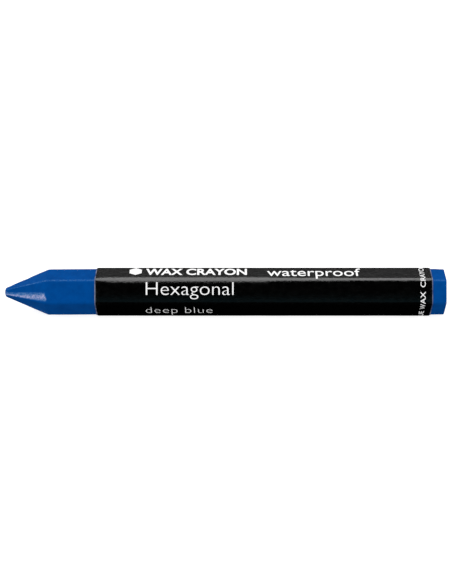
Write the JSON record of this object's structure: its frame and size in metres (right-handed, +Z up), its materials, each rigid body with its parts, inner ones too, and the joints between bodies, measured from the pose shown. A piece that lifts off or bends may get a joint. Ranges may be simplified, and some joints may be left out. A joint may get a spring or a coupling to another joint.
{
  "type": "wax marking crayon",
  "caption": "Hexagonal wax marking crayon with a blunt tapered tip, a square butt and a lapped paper wrap that leaves both ends bare.",
  "frame": {"origin": "middle of the footprint, on the table that the crayon lies on", "axes": "+X along the crayon from the tip to the butt, +Y across it, +Z up from the facet it lies on"},
  "size_m": [0.11, 0.012, 0.0108],
  "materials": {
    "blue_wax": "satin",
    "white_paper": "matte",
    "black_paper": "satin",
    "dried_paste": "matte",
    "white_ink": "matte"
  },
  "bodies": {
    "root": {"wax_stick": "blue_wax", "liner_sheet": "white_paper", "liner_paste": "dried_paste", "label_sheet": "black_paper", "label_paste": "dried_paste"}
  },
  "joints": []
}
